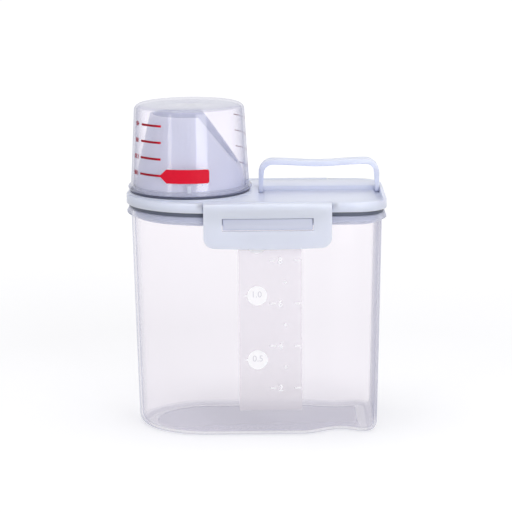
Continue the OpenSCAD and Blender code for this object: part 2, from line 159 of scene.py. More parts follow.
class Graph:
    """A node tree that is built by calls."""

    def __init__(self, tree: bpy.types.NodeTree, output: str) -> None:
        """Empty the tree and add its output node.

        Args:
            tree: The node tree of a material or the world.
            output: Type of the output node.
        """
        self.tree = tree
        self.tree.nodes.clear()
        self.output = self.tree.nodes.new(output)

    def node(self, kind: str, settings: Optional[dict[str, Any]] = None,
             inputs: Optional[dict[Any, Any]] = None, out: Any = 0) -> Sock:
        """Any node.

        Args:
            kind: Blender's type of the node.
            settings: The node's own settings.
            inputs: Values or links by socket name or number.
            out: Name or number of the output that is returned.

        Returns:
            The chosen output.
        """
        made = self.tree.nodes.new(kind)
        for key, value in (settings or {}).items():
            setattr(made, key, value)
        for key, value in (inputs or {}).items():
            if isinstance(value, Sock):
                self.tree.links.new(value.socket, made.inputs[key])
            elif isinstance(value, tuple) and len(value) == 3 and made.inputs[key].type == "RGBA":
                made.inputs[key].default_value = (*value, 1.0)
            else:
                made.inputs[key].default_value = value
        return Sock(self, made.outputs[out])

    def mix(self, factor: Any, first: Any, second: Any) -> Sock:
        """Two colours mixed.

        Args:
            factor: Share of the second colour.
            first: First colour.
            second: Second colour.

        Returns:
            The mixed colour.
        """
        return self.node("ShaderNodeMix", {"data_type": "RGBA"}, {0: factor, 6: first, 7: second}, out=2)

    def noise(self, scale: float, detail: float = 2.0, stretch: Point = (1.0, 1.0, 1.0)) -> Sock:
        """Noise on Object coordinates.

        Args:
            scale: Waves per metre.
            detail: Octaves.
            stretch: Scale of the pattern on each axis.

        Returns:
            The noise value.
        """
        place = self.node("ShaderNodeTexCoord", out="Object")
        mapped = self.node("ShaderNodeMapping", {"vector_type": "POINT"}, {"Vector": place, "Scale": stretch})
        return self.node("ShaderNodeTexNoise", {}, {"Vector": mapped, "Scale": scale, "Detail": detail})

    def coordinate(self, axis: str, space: str = "Object") -> Sock:
        """One coordinate of the shaded place.

        Args:
            axis: "X", "Y" or "Z".
            space: Output of the Texture Coordinate node.

        Returns:
            The coordinate.
        """
        place = self.node("ShaderNodeTexCoord", out=space)
        return self.node("ShaderNodeSeparateXYZ", {}, {"Vector": place}, out=axis)

    def ramp(self, value: Sock, source: Pair, target: Pair = (0.0, 1.0)) -> Sock:
        """A value carried from one range to another and kept inside it.

        Args:
            value: The value.
            source: Where the ramp starts and where it ends.
            target: Result at the start and at the end.

        Returns:
            The result.
        """
        return self.node("ShaderNodeMapRange", {"clamp": True}, {
            "Value": value, "From Min": source[0], "From Max": source[1],
            "To Min": target[0], "To Max": target[1]})

    def skin_normal(self, height: Sock, strength: float) -> Sock:
        """Normals of a fine skin."""
        return self.node("ShaderNodeBump", {}, {"Strength": strength, "Distance": SKIN_DISTANCE, "Height": height},
                         out="Normal")

    def end(self, shader: Sock) -> None:
        """Link a shader to the output."""
        self.tree.links.new(shader.socket, self.output.inputs["Surface"])


def new_material(name: str) -> tuple[bpy.types.Material, Graph]:
    """An empty node material.

    Args:
        name: Name of the material.

    Returns:
        The material and its graph.
    """
    material = bpy.data.materials.new(name)
    material.use_nodes = True
    return material, Graph(material.node_tree, "ShaderNodeOutputMaterial")


# ---------------------------------------------------------------- finishes


@dataclass(frozen=True)
class Moulded:
    """Opaque moulded plastic or rubber with a fine skin."""

    name: str
    color: Color
    shade: Color
    roughness: float
    grain: float = 1500.0
    bump: float = 0.04
    specular: float = 0.5
    depth: float = 0.0
    scatter: float = 0.7
    cloud_waves: float = 38.0

    def build(self) -> bpy.types.Material:
        """The material, with flow clouds in its colour and a fine skin in its gloss."""
        material, graph = new_material(self.name)
        clouds = graph.noise(self.cloud_waves, 3.0)
        skin = graph.noise(self.grain, 2.0)
        bump = graph.skin_normal(skin, self.bump)
        shader = graph.node("ShaderNodeBsdfPrincipled", {}, {
            "Base Color": graph.mix(clouds, self.color, self.shade),
            "Roughness": self.roughness - 0.05 + 0.1 * skin,
            "Specular IOR Level": self.specular,
            "Subsurface Weight": self.scatter if self.depth else 0.0,
            "Subsurface Radius": (1.0, 1.0, 1.1),
            "Subsurface Scale": self.depth,
            "Normal": bump})
        graph.end(shader)
        return material


@dataclass(frozen=True)
class Frosted:
    """Milky translucent plastic: what is behind shows through, less so at a slant."""

    name: str
    body: Color
    through: Color
    face_on: float
    slanted: float
    roughness: float = 0.3
    falloff: float = 2.4
    gloss: Pair = (0.02, 0.5)
    rim: Pair = (1.0, 1.1)
    rim_milk: float = 0.0
    foot: Pair = (-1.0, -1.1)
    foot_milk: float = 0.0
    grain: float = 1400.0
    bump: float = 0.03
    specular: float = 0.25
    cloud_waves: float = 24.0
    cloud_milk: float = 0.02
    cloud_shade: float = 0.96

    def build(self) -> bpy.types.Material:
        """The material, a mix of see-through, milky and reflecting plastic."""
        material, graph = new_material(self.name)
        facing = graph.node("ShaderNodeLayerWeight", {}, {"Blend": 0.5}, out="Facing")
        clouds = graph.noise(self.cloud_waves, 2.0, (1.0, 1.0, 0.35))
        skin = graph.noise(self.grain, 2.0)
        height = graph.coordinate("Z")
        rough = self.roughness - 0.04 + 0.08 * skin
        milk = self.face_on + (self.slanted - self.face_on) * facing ** self.falloff
        milk = milk + self.cloud_milk * (clouds - 0.5)
        for heights, share in ((self.rim, self.rim_milk), (self.foot, self.foot_milk)):
            if share:
                milk = milk + graph.ramp(height, heights, (0.0, share))
        bump = graph.skin_normal(skin, self.bump)
        plastic = graph.node("ShaderNodeBsdfPrincipled", {}, {
            "Base Color": graph.mix(clouds, self.body, tuple(self.cloud_shade * value for value in self.body)),
            "Roughness": rough,
            "Specular IOR Level": self.specular,
            "Normal": bump})
        clear = graph.node("ShaderNodeBsdfTransparent", {}, {"Color": self.through})
        mirror = graph.node("ShaderNodeBsdfPrincipled", {}, {
            "Base Color": (1.0, 1.0, 1.0), "Metallic": 1.0, "Roughness": rough})
        sheen = self.gloss[0] + (self.gloss[1] - self.gloss[0]) * facing ** SCHLICK_POWER
        window = graph.node("ShaderNodeMixShader", {}, {0: sheen.clamped(), 1: clear, 2: mirror})
        graph.end(graph.node("ShaderNodeMixShader", {}, {0: milk.clamped(), 1: window, 2: plastic}))
        return material


@dataclass(frozen=True)
class Ink:
    """Printed ink, a little uneven in thickness, and deeper left of a place along X."""

    name: str
    color: Color
    thin: Color
    roughness: float = 0.45
    deep: Optional[Color] = None
    deep_x: Pair = (-0.069, -0.065)
    patch_waves: float = 420.0
    specular: float = 0.2

    def build(self) -> bpy.types.Material:
        """The material."""
        material, graph = new_material(self.name)
        patches = graph.noise(self.patch_waves, 3.0)
        color = graph.mix(patches, self.color, self.thin)
        if self.deep:
            color = graph.mix(graph.ramp(graph.coordinate("X"), self.deep_x), self.deep, color)
        shader = graph.node("ShaderNodeBsdfPrincipled", {}, {
            "Base Color": color,
            "Roughness": self.roughness + 0.1 * patches,
            "Specular IOR Level": self.specular})
        graph.end(shader)
        return material


@dataclass(frozen=True)
class Finishes:
    """All finishes of the object, built once."""

    lid: bpy.types.Material = field(default_factory=lambda: Moulded(
        "pale_blue_plastic", srgb(222, 228, 251), srgb(217, 223, 247), 0.34, depth=0.01).build())
    seal: bpy.types.Material = field(default_factory=lambda: Moulded(
        "dark_seal", srgb(92, 98, 114), srgb(84, 90, 106), 0.5, grain=900.0).build())
    cup_seal: bpy.types.Material = field(default_factory=lambda: Moulded(
        "cup_seal", srgb(84, 88, 108), srgb(76, 80, 100), 0.5, grain=900.0).build())
    tub: bpy.types.Material = field(default_factory=lambda: Frosted(
        "frosted_tub", srgb(212, 217, 236), srgb(254, 253, 254), 0.015, 1.0, falloff=6.5, gloss=(0.01, 0.15),
        rim=(0.1513, 0.1528), rim_milk=0.4, foot=(0.0027, 0.0021), foot_milk=0.1).build())
    # The catches are milkier than the tub's wall because they are thick. Their body is also lighter than the tub's:
    # painted light that brightens the lugs in the shade of the latch slots. The cup's gate star and tab use the same
    # material.
    catch: bpy.types.Material = field(default_factory=lambda: Frosted(
        "frosted_catch", srgb(222, 226, 241), srgb(240, 240, 248), 0.8, 0.95).build())
    # The cup's grey-blue body shows where its walls are seen at a slant. It is partly the plastic's real haze and
    # partly painted shade, which darkens the cup's outlines and top face in place of the darker surroundings that a
    # clear wall bends into view.
    cup: bpy.types.Material = field(default_factory=lambda: Frosted(
        "clear_cup", srgb(186, 190, 210), srgb(254, 253, 255), 0.012, 1.0, roughness=0.08, falloff=3.6,
        gloss=(0.03, 0.4), foot=(0.1738, 0.1728), foot_milk=0.2).build())
    red: bpy.types.Material = field(default_factory=lambda: Ink(
        "red_ink", srgb(226, 8, 46), srgb(212, 4, 42), deep=srgb(158, 0, 34)).build())
    line: bpy.types.Material = field(default_factory=lambda: Ink(
        "line_ink", srgb(168, 0, 34), srgb(150, 0, 30)).build())
    film: bpy.types.Material = field(default_factory=lambda: Frosted(
        "frosted_film", srgb(245, 241, 247), srgb(254, 253, 254), 0.32, 0.5, 0.45).build())
    white: bpy.types.Material = field(default_factory=lambda: Ink(
        "white_ink", srgb(255, 254, 255), srgb(252, 251, 254), 0.5).build())
    figure: bpy.types.Material = field(default_factory=lambda: Ink(
        "figure_ink", srgb(222, 220, 227), srgb(216, 214, 221), 0.5).build())


# ---------------------------------------------------------------- mesh tools


def arc(x: float, y: float, rx: float, ry: float, start: float, stop: float, count: int) -> list[Pair]:
    """Points of an arc.

    Args:
        x: Centre, first axis.
        y: Centre, second axis.
        rx: Radius on the first axis.
        ry: Radius on the second axis.
        start: First angle in degrees.
        stop: Last angle in degrees.
        count: Number of steps.

    Returns:
        The points, both ends included.
    """
    angles = (math.radians(start + (stop - start) * i / count) for i in range(count + 1))
    return [(x + rx * math.cos(a), y + ry * math.sin(a)) for a in angles]


def sweep(bm: bmesh.types.BMesh, rings: Sequence[Sequence[Point]]) -> list[bmesh.types.BMVert]:
    """Extrude a closed ring through a row of places.

    Args:
        bm: The mesh.
        rings: Rings of as many points each, from the first to the last.

    Returns:
        The last ring's vertices.
    """
    made = bmesh.ops.create_circle(bm, cap_ends=False, segments=len(rings[0]), radius=1.0)["verts"]
    for vert, point in zip(made, rings[0]):
        vert.co = point
    current = list(made)
    edges = [bm.edges.get((current[i - 1], current[i])) for i in range(len(current))]
    for ring in rings[1:]:
        order = {vert.co.to_tuple(6): i for i, vert in enumerate(current)}
        grown = bmesh.ops.extrude_edge_only(bm, edges=edges)["geom"]
        fresh = [g for g in grown if isinstance(g, bmesh.types.BMVert)]
        edges = [g for g in grown if isinstance(g, bmesh.types.BMEdge)]
        current = [fresh[0]] * len(ring)
        for vert in fresh:
            current[order[vert.co.to_tuple(6)]] = vert
        for vert, point in zip(current, ring):
            vert.co = point
        edges = [bm.edges.get((current[i - 1], current[i])) for i in range(len(current))]
    return current


def lathe(bm: bmesh.types.BMesh, profile: Sequence[Pair], x: float, z: float, steps: int = 160) -> None:
    """Spin an outline about an upright axis.

    Args:
        bm: The mesh.
        profile: Pairs of radius and height; the first and last may be on the axis.
        x: The axis along X.
        z: Height that the profile starts from.
        steps: Steps of the full turn.
    """
    verts = [bm.verts.new((x + r, 0.0, z + h)) for r, h in profile]
    edges = [bm.edges.new(pair) for pair in zip(verts, verts[1:])]
    bmesh.ops.spin(bm, geom=[*verts, *edges], cent=(x, 0.0, 0.0), axis=(0.0, 0.0, 1.0),
                   angle=2 * math.pi, steps=steps, use_merge=True, use_normal_flip=False, use_duplicate=False)
    bmesh.ops.remove_doubles(bm, verts=bm.verts, dist=1e-4)


def box(bm: bmesh.types.BMesh, low: Point, high: Point, radius: float = 0.0, segments: int = 3) -> None:
    """A block with rounded edges.

    Args:
        bm: The mesh.
        low: Lowest corner.
        high: Highest corner.
        radius: Radius of its edges.
        segments: Steps of the rounding.
    """
    size = Vector(high) - Vector(low)
    middle = (Vector(high) + Vector(low)) / 2
    place = Matrix.Translation(middle) @ Matrix.Diagonal((*size, 1.0))
    made = bmesh.ops.create_cube(bm, size=1.0, matrix=place)["verts"]
    if radius > 0:
        edges = list({edge for vert in made for edge in vert.link_edges})
        bmesh.ops.bevel(bm, geom=edges, offset=radius, offset_type="OFFSET", affect="EDGES",
                        segments=segments, profile=0.5, material=-1, clamp_overlap=True)


def pour_into(bm: bmesh.types.BMesh, part: bmesh.types.BMesh) -> None:
    """Add one mesh to another.

    Args:
        bm: Mesh that receives it.
        part: Mesh that is added, and freed.
    """
    mesh = bpy.data.meshes.new("part")
    part.to_mesh(mesh)
    part.free()
    bm.from_mesh(mesh)
    bpy.data.meshes.remove(mesh)


def finish_piece(bm: bmesh.types.BMesh, name: str, body: Body, material: bpy.types.Material,
                 stands_for: Iterable[str] = (), sharp: float = 32.0, scale: float = MM,
                 fix_normals: bool = True) -> bpy.types.Object:
    """Turn a mesh into a piece that rides on a body.

    Args:
        bm: The mesh, which is freed.
        name: Name of the piece.
        body: Body that it rides on.
        material: Its material.
        stands_for: CAD nodes that it replaces.
        sharp: Angle in degrees past which an edge stays sharp.
        scale: Factor from the mesh's unit to metres.
        fix_normals: Whether normals are recalculated to the outside.

    Returns:
        The piece.
    """
    if scale != 1.0:
        bmesh.ops.scale(bm, vec=(scale,) * 3, verts=bm.verts)
    if fix_normals:
        bmesh.ops.recalc_face_normals(bm, faces=bm.faces)
    mesh = bpy.data.meshes.new(name)
    bm.to_mesh(mesh)
    bm.free()
    mesh.polygons.foreach_set("use_smooth", [True] * len(mesh.polygons))
    mesh.set_sharp_from_angle(angle=math.radians(sharp))
    mesh.materials.append(material)
    piece = bpy.data.objects.new(name, mesh)
    bpy.context.scene.collection.objects.link(piece)
    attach(piece, body.value)
    nodes = list(stands_for)
    if nodes:
        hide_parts(*nodes)
    LOG.info("%s: %d faces on %s", name, len(mesh.polygons), body.value)
    return piece


def refined_copy(node: str, radius: float, segments: int = 2, sharp: float = 34.0) -> bmesh.types.BMesh:
    """A copy of a CAD node with its sharp edges rounded.

    Args:
        node: Name of the node.
        radius: Radius of the rounding in millimetres.
        segments: Steps of the rounding.
        sharp: Angle in degrees past which an edge is rounded.

    Returns:
        The copy, in metres.
    """
    bm = bmesh.new()
    bm.from_mesh(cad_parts[node].data)
    bmesh.ops.remove_doubles(bm, verts=bm.verts, dist=2e-6)
    bmesh.ops.dissolve_limit(bm, angle_limit=math.radians(0.6), verts=bm.verts, edges=bm.edges)
    edges = [e for e in bm.edges if len(e.link_faces) == 2 and e.calc_face_angle(0.0) > math.radians(sharp)]
    if radius > 0:
        bmesh.ops.bevel(bm, geom=edges, offset=radius * MM, offset_type="OFFSET", affect="EDGES",
                        segments=segments, profile=0.5, material=-1, clamp_overlap=True)
    return bm


def refined_piece(node: str, name: str, body: Body, material: bpy.types.Material, radius: float,
                  segments: int) -> None:
    """Make the piece that stands for a CAD node of the opaque plastic, with its sharp edges rounded.

    Args:
        node: Name of the node.
        name: Name of the piece.
        body: Body that it rides on.
        material: Its material.
        radius: Radius of the rounding in millimetres.
        segments: Steps of the rounding.
    """
    finish_piece(refined_copy(node, radius, segments), name, body, material, [node],
                 scale=1.0, fix_normals=False)


def lettering(text: str, size: float, thickness: float, weight: float = 0.0) -> bmesh.types.BMesh:
    """Plain figures as a mesh in the XY plane, centred on the origin.

    Args:
        text: The figures.
        size: Height of the font in millimetres.
        thickness: Thickness of the print in millimetres.
        weight: How much bolder the strokes are on each side, in millimetres.

    Returns:
        The mesh, in millimetres.
    """
    curve = bpy.data.curves.new("figures", "FONT")
    curve.body = text
    curve.size = size
    curve.align_x = "CENTER"
    curve.align_y = "CENTER"
    curve.extrude = thickness / 2
    curve.offset = weight
    curve.resolution_u = 4
    carrier = bpy.data.objects.new("figures", curve)
    bm = bmesh.new()
    bm.from_mesh(carrier.to_mesh())
    carrier.to_mesh_clear()
    bpy.data.objects.remove(carrier)
    bpy.data.curves.remove(curve)
    bmesh.ops.remove_doubles(bm, verts=bm.verts, dist=1e-4)
    low = min(v.co.x for v in bm.verts), min(v.co.y for v in bm.verts)
    high = max(v.co.x for v in bm.verts), max(v.co.y for v in bm.verts)
    bmesh.ops.translate(bm, vec=(-(low[0] + high[0]) / 2, -(low[1] + high[1]) / 2, thickness / 2), verts=bm.verts)
    return bm


# ---------------------------------------------------------------- sub-assemblies


@dataclass
class Plan:
    """Plan outline of lid and tub."""

    length: float = 182.0
    depth: float = 104.0
    end_reach: float = 57.0
    corner_r: float = 22.0

    @property
    def half(self) -> Pair:
        """Half of the length and of the depth."""
        return self.length / 2, self.depth / 2

    def points(self, inset: float, side: int = 1) -> list[Pair]:
        """Outline a distance inside the lid's edge.

        Args:
            inset: The distance.
            side: Steps along each straight side.

        Returns:
            Points against the clock, from the back of the round end.
        """
        half_x, half_y = self.half
        end_x = self.end_reach - half_x
        radius = max(self.corner_r - inset, 1.0)
        x, y = half_x - inset - radius, half_y - inset - radius
        straight = [(end_x + (half_x - self.corner_r - end_x) * i / side, inset - half_y) for i in range(1, side)]
        return [*arc(end_x, 0.0, self.end_reach - inset, half_y - inset, 90, 270, 60), *straight,
                *arc(x, -y, radius, radius, -90, 0, 14), *arc(x, y, radius, radius, 0, 90, 14),
                *[(a, -b) for a, b in reversed(straight)]]

    def ring(self, inset: float, z: float) -> list[Point]:
        """The outline at a height."""
        return [(x, y, z) for x, y in self.points(inset)]


@dataclass
class Tub:
    """Translucent tub with its rim bead, grip hollows and catches."""

    plan: Plan
    finishes: Finishes
    height: float = 157.3
    wall_inset: float = 3.4
    wall: float = 1.9
    floor: float = 2.2
    draft: float = 0.021
    foot_r: float = 6.5
    panel_depth: float = 0.8
    panel_inset: float = 6.0
    bead_h: float = 5.0
    lip_out: float = 2.4
    lip_r: float = 0.8
    lip_z: float = 1.85
    grip_x: float = 58.5
    grip_half: float = 27.0
    grip_front: float = 11.0
    grip_back: float = 5.0
    grip_gap: float = 4.0
    grip_run_out: float = 32.0
    catch: tuple[Point, Point] = ((-22.65, -53.3, 148.6), (39.05, -47.1, 156.5))
    catch_r: float = 0.6

    @property
    def grip_heights(self) -> Pair:
        """Heights up to which a grip hollow has its full depth, and where it ends."""
        top = self.height - self.bead_h - self.grip_gap
        return top - self.grip_run_out, top

    def depth_share(self, x: float, z: float) -> float:
        """Share of a grip hollow's depth at a place.

        Args:
            x: Place along X.
            z: Height.

        Returns:
            The share, 0 outside the hollow.
        """
        full, top = self.grip_heights
        if abs(x - self.grip_x) >= self.grip_half or z >= top:
            return 0.0
        across = math.cos(math.pi / 2 * (x - self.grip_x) / self.grip_half) ** 2
        return across * (1.0 if z <= full else (1 + math.cos(math.pi * (z - full) / (top - full))) / 2)

    def ring(self, inset: float, z: float) -> list[Point]:
        """One ring of the wall, with the hollows pressed in."""
        return [(x, y + self.depth_share(x, z) * (self.grip_front if y < 0 else -self.grip_back), z)
                for x, y in self.plan.points(inset, side=54)]

    def inset_at(self, z: float) -> float:
        """Inset of the outer wall at a height."""
        return self.wall_inset + self.draft * max(0.0, self.height - self.bead_h - z)

    def levels(self) -> list[float]:
        """Heights of the wall's rings, from the foot up."""
        full, _ = self.grip_heights
        straight = [self.foot_r + (full - self.foot_r) * i / 6 for i in range(1, 6)]
        return [*straight, *[full + 2.0 * i for i in range(17)]]

    def outside(self) -> list[Pair]:
        """Inset and height of the outside, from the underside up to the rim."""
        foot = self.inset_at(0.0)
        panel = foot + self.foot_r + self.panel_inset
        rim = self.height - self.bead_h
        curve = [(foot + self.foot_r * (1 - math.sin(t)), self.foot_r * (1 - math.cos(t)))
                 for t in (math.pi / 2 * i / 12 for i in range(13))]
        tip = [(self.wall_inset - self.lip_out - self.lip_r * math.cos(math.radians(a)),
                rim + self.lip_z + self.lip_r * math.sin(math.radians(a))) for a in range(-60, 61, 20)]
        return [(panel + 1.2, self.panel_depth), (panel + 0.3, 0.1), (panel, 0.0), *curve,
                *[(self.inset_at(z), z) for z in self.levels()],
                (self.wall_inset, rim - 0.4), (self.wall_inset - 0.25, rim + 0.1), *tip,
                (self.wall_inset - 2.0, self.height - 0.5), (self.wall_inset - 1.0, self.height)]

    def inside(self) -> list[Pair]:
        """Inset and height of the inside, from the rim down to the floor."""
        foot = self.inset_at(0.0) + self.wall
        radius = self.foot_r - self.wall
        curve = [(foot + radius * (1 - math.sin(t)), self.floor + radius * (1 - math.cos(t)))
                 for t in (math.pi / 2 * i / 8 for i in range(8, -1, -1))]
        rim = self.wall_inset + self.wall
        return [(rim - 0.3, self.height), (rim, self.height - 0.3),
                *[(self.inset_at(z) + self.wall, z) for z in reversed(self.levels())], *curve]

    def build(self) -> None:
        """Make the shell and its two catches."""
        bm = bmesh.new()
        profile = [*self.outside(), *self.inside()]
        last = sweep(bm, [self.ring(*pair) for pair in profile])
        bm.verts.ensure_lookup_table()
        open_edges = [e for e in bm.edges if e.is_boundary]
        bmesh.ops.edgeloop_fill(bm, edges=[e for e in open_edges if e.verts[0] in set(last)])
        bmesh.ops.edgeloop_fill(bm, edges=[e for e in bm.edges if e.is_boundary])
        finish_piece(bm, "tub_shell", Body.TUB, self.finishes.tub, ["container_body"])
        low, high = self.catch
        for name, turn in (("front_catch", 1.0), ("rear_catch", -1.0)):
            bm = bmesh.new()
            box(bm, low, high, self.catch_r)
            bmesh.ops.scale(bm, vec=(1.0, turn, 1.0), verts=bm.verts)
            finish_piece(bm, name, Body.TUB, self.finishes.catch)


@dataclass
class Seals:
    """The dark ring under the lid and the one under the cup."""

    plan: Plan
    finishes: Finishes
    inset: float = 2.3
    width: float = 4.0
    bottom: float = 157.3
    top: float = 161.4
    cup_x: float = -46.0
    cup_z: float = 168.2
    cup_h: float = 1.4
    cup_out: float = 42.4
    cup_in: float = 38.6

    def build(self) -> None:
        """Make both rings."""
        rounding = 0.5
        bm = bmesh.new()
        outline = [(self.inset, self.bottom + rounding), (self.inset, self.top - rounding),
                   (self.inset + rounding, self.top), (self.inset + self.width - rounding, self.top),
                   (self.inset + self.width, self.top - rounding), (self.inset + self.width, self.bottom + rounding),
                   (self.inset + self.width - rounding, self.bottom), (self.inset + rounding, self.bottom)]
        sweep(bm, [self.plan.ring(*pair) for pair in [*outline, outline[0]]])
        bmesh.ops.remove_doubles(bm, verts=bm.verts, dist=1e-4)
        finish_piece(bm, "lid_seal", Body.TUB, self.finishes.seal, ["main_seal"])
        bm = bmesh.new()
        middle = self.cup_h / 2
        outer = arc(self.cup_out - middle, middle, middle, middle, -90, 90, 8)
        lathe(bm, [*outer, (self.cup_in, self.cup_h), (self.cup_in, 0.0), outer[0]], self.cup_x, self.cup_z)
        finish_piece(bm, "spout_seal", Body.TUB, self.finishes.cup_seal, ["cup_seal"])


@dataclass
class Lid:
    """Lid with the pouring spout and the handle's tray."""

    finishes: Finishes
    edge_r: float = 0.25

    def build(self) -> None:
        """Make the lid."""
        refined_piece("lid", "lid_moulding", Body.TUB, self.finishes.lid, self.edge_r, 2)


@dataclass
class Latches:
    """The two snap latches."""

    finishes: Finishes
    edge_r: float = 0.5

    def build(self) -> None:
        """Make both latches."""
        for node, body in (("front_latch", Body.FRONT_LATCH), ("rear_latch", Body.REAR_LATCH)):
            refined_piece(node, f"{node}_moulding", body, self.finishes.lid, self.edge_r, 3)


@dataclass
class Handle:
    """The carrying handle."""

    finishes: Finishes
    edge_r: float = 0.7

    def build(self) -> None:
        """Make the handle."""
        refined_piece("carry_handle", "handle_moulding", Body.HANDLE, self.finishes.lid, self.edge_r, 3)


@dataclass
class Cup:
    """Measuring cup that stands upside down on the spout's seat."""

    finishes: Finishes
    x: float = -46.0
    mouth_z: float = 169.6
    height: float = 60.0
    mouth_r: float = 42.0
    end_r: float = 38.8
    wall: float = 1.6
    end_t: float = 1.8
    edge_r: float = 4.0
    bead_out: float = 1.7
    bead_r: float = 1.4
    bead_z: float = 1.8
    gate_r: float = 2.2
    ink: float = 0.22
    line_z: float = 13.7
    line_step: float = 11.4
    line_h: float = 1.5
    tag_h: float = 9.6
    figures: tuple[str, ...] = ("180", "120", "80", "40")
    figure_places: tuple[tuple[str, float, float], ...] = (("front", -153.5, 4.6), ("back", 11.0, 3.4))
    back_angle: float = 28.0
    back_line: Pair = (-7.0, 6.6)
    back_tag: Pair = (10.4, 34.0)
    back_width: float = 0.6
    star_reach: float = 5.5
    star_half: float = 0.25
    star_sink: float = 0.1
    tab_x: Pair = (-0.9, 2.1)
    tab_z: Pair = (3.0, 8.4)
    tab_out: float = 0.5
    tab_sink: float = 0.6

    @property
    def lean(self) -> float:
        """Inward lean of the wall for each millimetre of height."""
        return (self.mouth_r - self.end_r) / (self.height - self.edge_r)

    def profile(self) -> list[Pair]:
        """Radius and height of the closed outline, from the axis outside to the axis inside."""
        top = self.height
        shoulder = top - self.edge_r
        bead = arc(self.mouth_r + self.bead_out - self.bead_r, self.bead_z, self.bead_r, self.bead_r, 100, -100, 16)
        inner_r = self.edge_r - self.wall
        inner = self.end_r - self.wall
        return [(0.0, top - 0.4), (self.gate_r - 0.3, top - 0.4), (self.gate_r, top - 0.05), (self.gate_r + 0.25, top),
                *arc(self.end_r - self.edge_r, shoulder, self.edge_r, self.edge_r, 90, 0, 12),
                (self.mouth_r - self.lean * 4.2, 4.2), (self.mouth_r - self.lean * 3.3, 3.4),
                *bead, (self.mouth_r - 0.3, 0.0), (self.mouth_r - self.wall + 0.3, 0.0),
                (self.mouth_r - self.wall, 0.3),
                *arc(inner - inner_r, top - self.end_t - inner_r, inner_r, inner_r, 0, 90, 10),
                (0.0, top - self.end_t)]

    def wrap(self, bm: bmesh.types.BMesh, angle: float, z: float) -> None:
        """Bend a flat print round the cup.

        Args:
            bm: The flat print in the XY plane, its thickness along Z.
            angle: Place round the cup in degrees, the front at -90.
            z: Height above the mouth.
        """
        for vert in bm.verts:
            radius = self.mouth_r - self.lean * (z + vert.co.y)
            turn = math.radians(angle) + vert.co.x / radius
            out = radius + vert.co.z
            vert.co = (self.x + out * math.cos(turn), out * math.sin(turn), self.mouth_z + z + vert.co.y)

    def build(self) -> None:
        """Make the cup, its moulding marks and the prints that the CAD leaves out."""
        bm = bmesh.new()
        lathe(bm, self.profile(), self.x, self.mouth_z)
        finish_piece(bm, "cup_shell", Body.CUP, self.finishes.cup, ["measuring_cup"])
        self.marks()
        for row, text in enumerate(self.figures):
            for side, angle, size in self.figure_places:
                bm = lettering(text, size, self.ink)
                bmesh.ops.rotate(bm, cent=(0, 0, 0), matrix=Matrix.Rotation(math.pi, 3, "Z"), verts=bm.verts)
                self.wrap(bm, angle, self.row_z(row))
                finish_piece(bm, f"cup_figure_{side}_{text}", Body.CUP, self.finishes.line)
        self.back_scale()

    def back_scale(self) -> None:
        """Make the print on the cup's back: four lines, and the outline of a tag on the lowest."""
        bm = bmesh.new()
        line_start, line_end = self.back_line
        tag_start, tag_end = self.back_tag
        for row in range(len(self.figures)):
            self.stroke(bm, (line_start, 0.0), (line_end, 0.0), self.row_z(row))
        for half in (-self.tag_h / 2, self.tag_h / 2):
            self.stroke(bm, (line_end, 0.0), (tag_start, half), self.row_z(0))
            self.stroke(bm, (tag_start, half), (tag_end, half), self.row_z(0))
        finish_piece(bm, "cup_back_scale", Body.CUP, self.finishes.line)

    def row_z(self, row: int) -> float:
        """Height of a line's middle above the mouth."""
        return self.line_z + row * self.line_step + self.line_h / 2

    def stroke(self, bm: bmesh.types.BMesh, start: Pair, stop: Pair, z: float) -> None:
        """Add a printed line of the back scale, measured from back_angle.

        Args:
            bm: Mesh that receives it.
            start: One end, as length round the cup and height.
            stop: The other end.
            z: Height above the mouth that heights are measured from.
        """
        line = bmesh.new()
        length = math.dist(start, stop)
        half = self.back_width / 2
        box(line, (-half, -half, 0.0), (length + half, half, self.ink))
        along = [e for e in line.edges if abs((e.verts[0].co - e.verts[1].co).x) > length / 2]
        bmesh.ops.subdivide_edges(line, edges=along, cuts=max(1, int(length / 1.5)), use_grid_fill=True)
        turn = math.atan2(stop[1] - start[1], stop[0] - start[0])
        place = Matrix.Translation((*start, 0.0)) @ Matrix.Rotation(turn, 4, "Z")
        bmesh.ops.transform(line, matrix=place, verts=line.verts)
        self.wrap(line, self.back_angle, z)
        pour_into(bm, line)

    def marks(self) -> None:
        """Make the moulding marks: the star under the closed end and the tab above the bead."""
        bm = bmesh.new()
        under = self.mouth_z + self.height - self.end_t
        for turn in range(4):
            star = bmesh.new()
            box(star, (-self.star_reach, -self.star_half, under - self.star_half),
                (self.star_reach, self.star_half, under + self.star_sink))
            bmesh.ops.rotate(star, cent=(0, 0, 0), matrix=Matrix.Rotation(math.pi / 4 * turn, 3, "Z"), verts=star.verts)
            bmesh.ops.translate(star, vec=(self.x, 0.0, 0.0), verts=star.verts)
            pour_into(bm, star)
        finish_piece(bm, "cup_gate_star", Body.CUP, self.finishes.catch)
        bm = bmesh.new()
        box(bm, (self.x + self.tab_x[0], -self.mouth_r - self.tab_out, self.mouth_z + self.tab_z[0]),
            (self.x + self.tab_x[1], self.tab_sink - self.mouth_r, self.mouth_z + self.tab_z[1]), 0.4)
        finish_piece(bm, "cup_tab", Body.CUP, self.finishes.catch)


